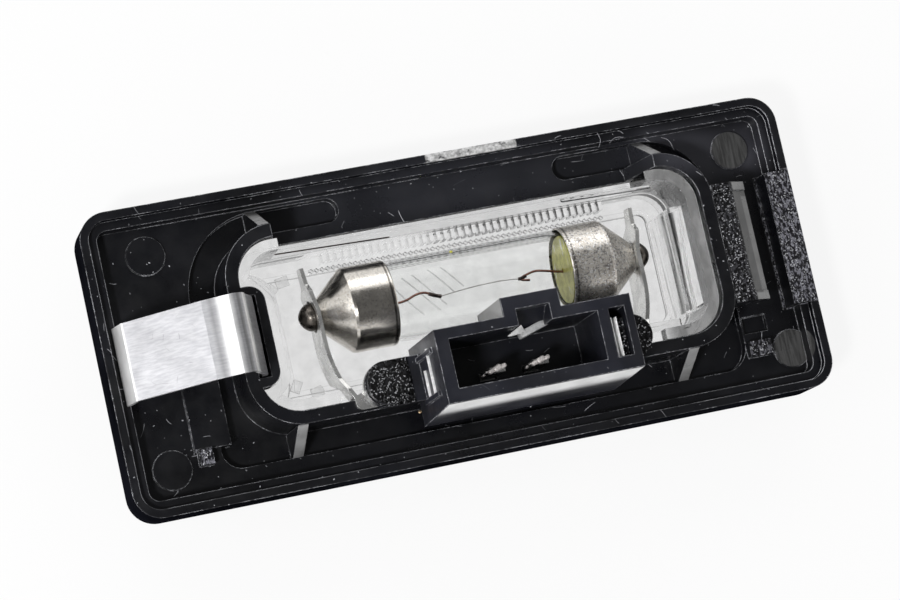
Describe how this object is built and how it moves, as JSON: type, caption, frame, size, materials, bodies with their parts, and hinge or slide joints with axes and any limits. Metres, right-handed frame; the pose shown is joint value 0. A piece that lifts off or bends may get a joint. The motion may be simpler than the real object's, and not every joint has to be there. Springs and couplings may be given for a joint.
{
  "type": "number plate lamp",
  "caption": "Car number plate lamp seen from its back: plate with clear lens, festoon bulb in contact strips, spring clip, hooking nose and connector.",
  "frame": {"origin": "in the plane of the lens's front face, below the middle of the plate", "axes": "+X along the plate from the spring clip to the fixed nose, +Y across it away from the connector, +Z from the lens towards the connector's mouth"},
  "size_m": [0.0724, 0.0304, 0.0215],
  "materials": {
    "housing_plastic": "satin moulded, with spark-eroded patches",
    "clear_plastic": "clear, polished",
    "carrier_plastic": "satin moulded",
    "spring_steel": "satin rolled strip",
    "contact_metal": "bright plated",
    "bulb_glass": "clear",
    "cap_metal": "plated, handled",
    "cement": "dull",
    "solder": "dull drop",
    "copper_wire": "copper coloured",
    "filament_wire": "coiled wire"
  },
  "bodies": {
    "root": {"housing": "housing_plastic", "lens": "clear_plastic", "contact_carrier": "carrier_plastic", "spring_clip": "spring_steel", "left_contact": "contact_metal", "right_contact": "contact_metal", "bulb_glass": "bulb_glass", "left_cap": "cap_metal", "right_cap": "cap_metal", "left_cement": "cement", "right_cement": "cement", "left_solder": "solder", "right_solder": "solder", "left_support_wire": "copper_wire", "right_support_wire": "copper_wire", "left_filament_clamp": "copper_wire", "right_filament_clamp": "copper_wire", "filament": "filament_wire"}
  },
  "joints": []
}
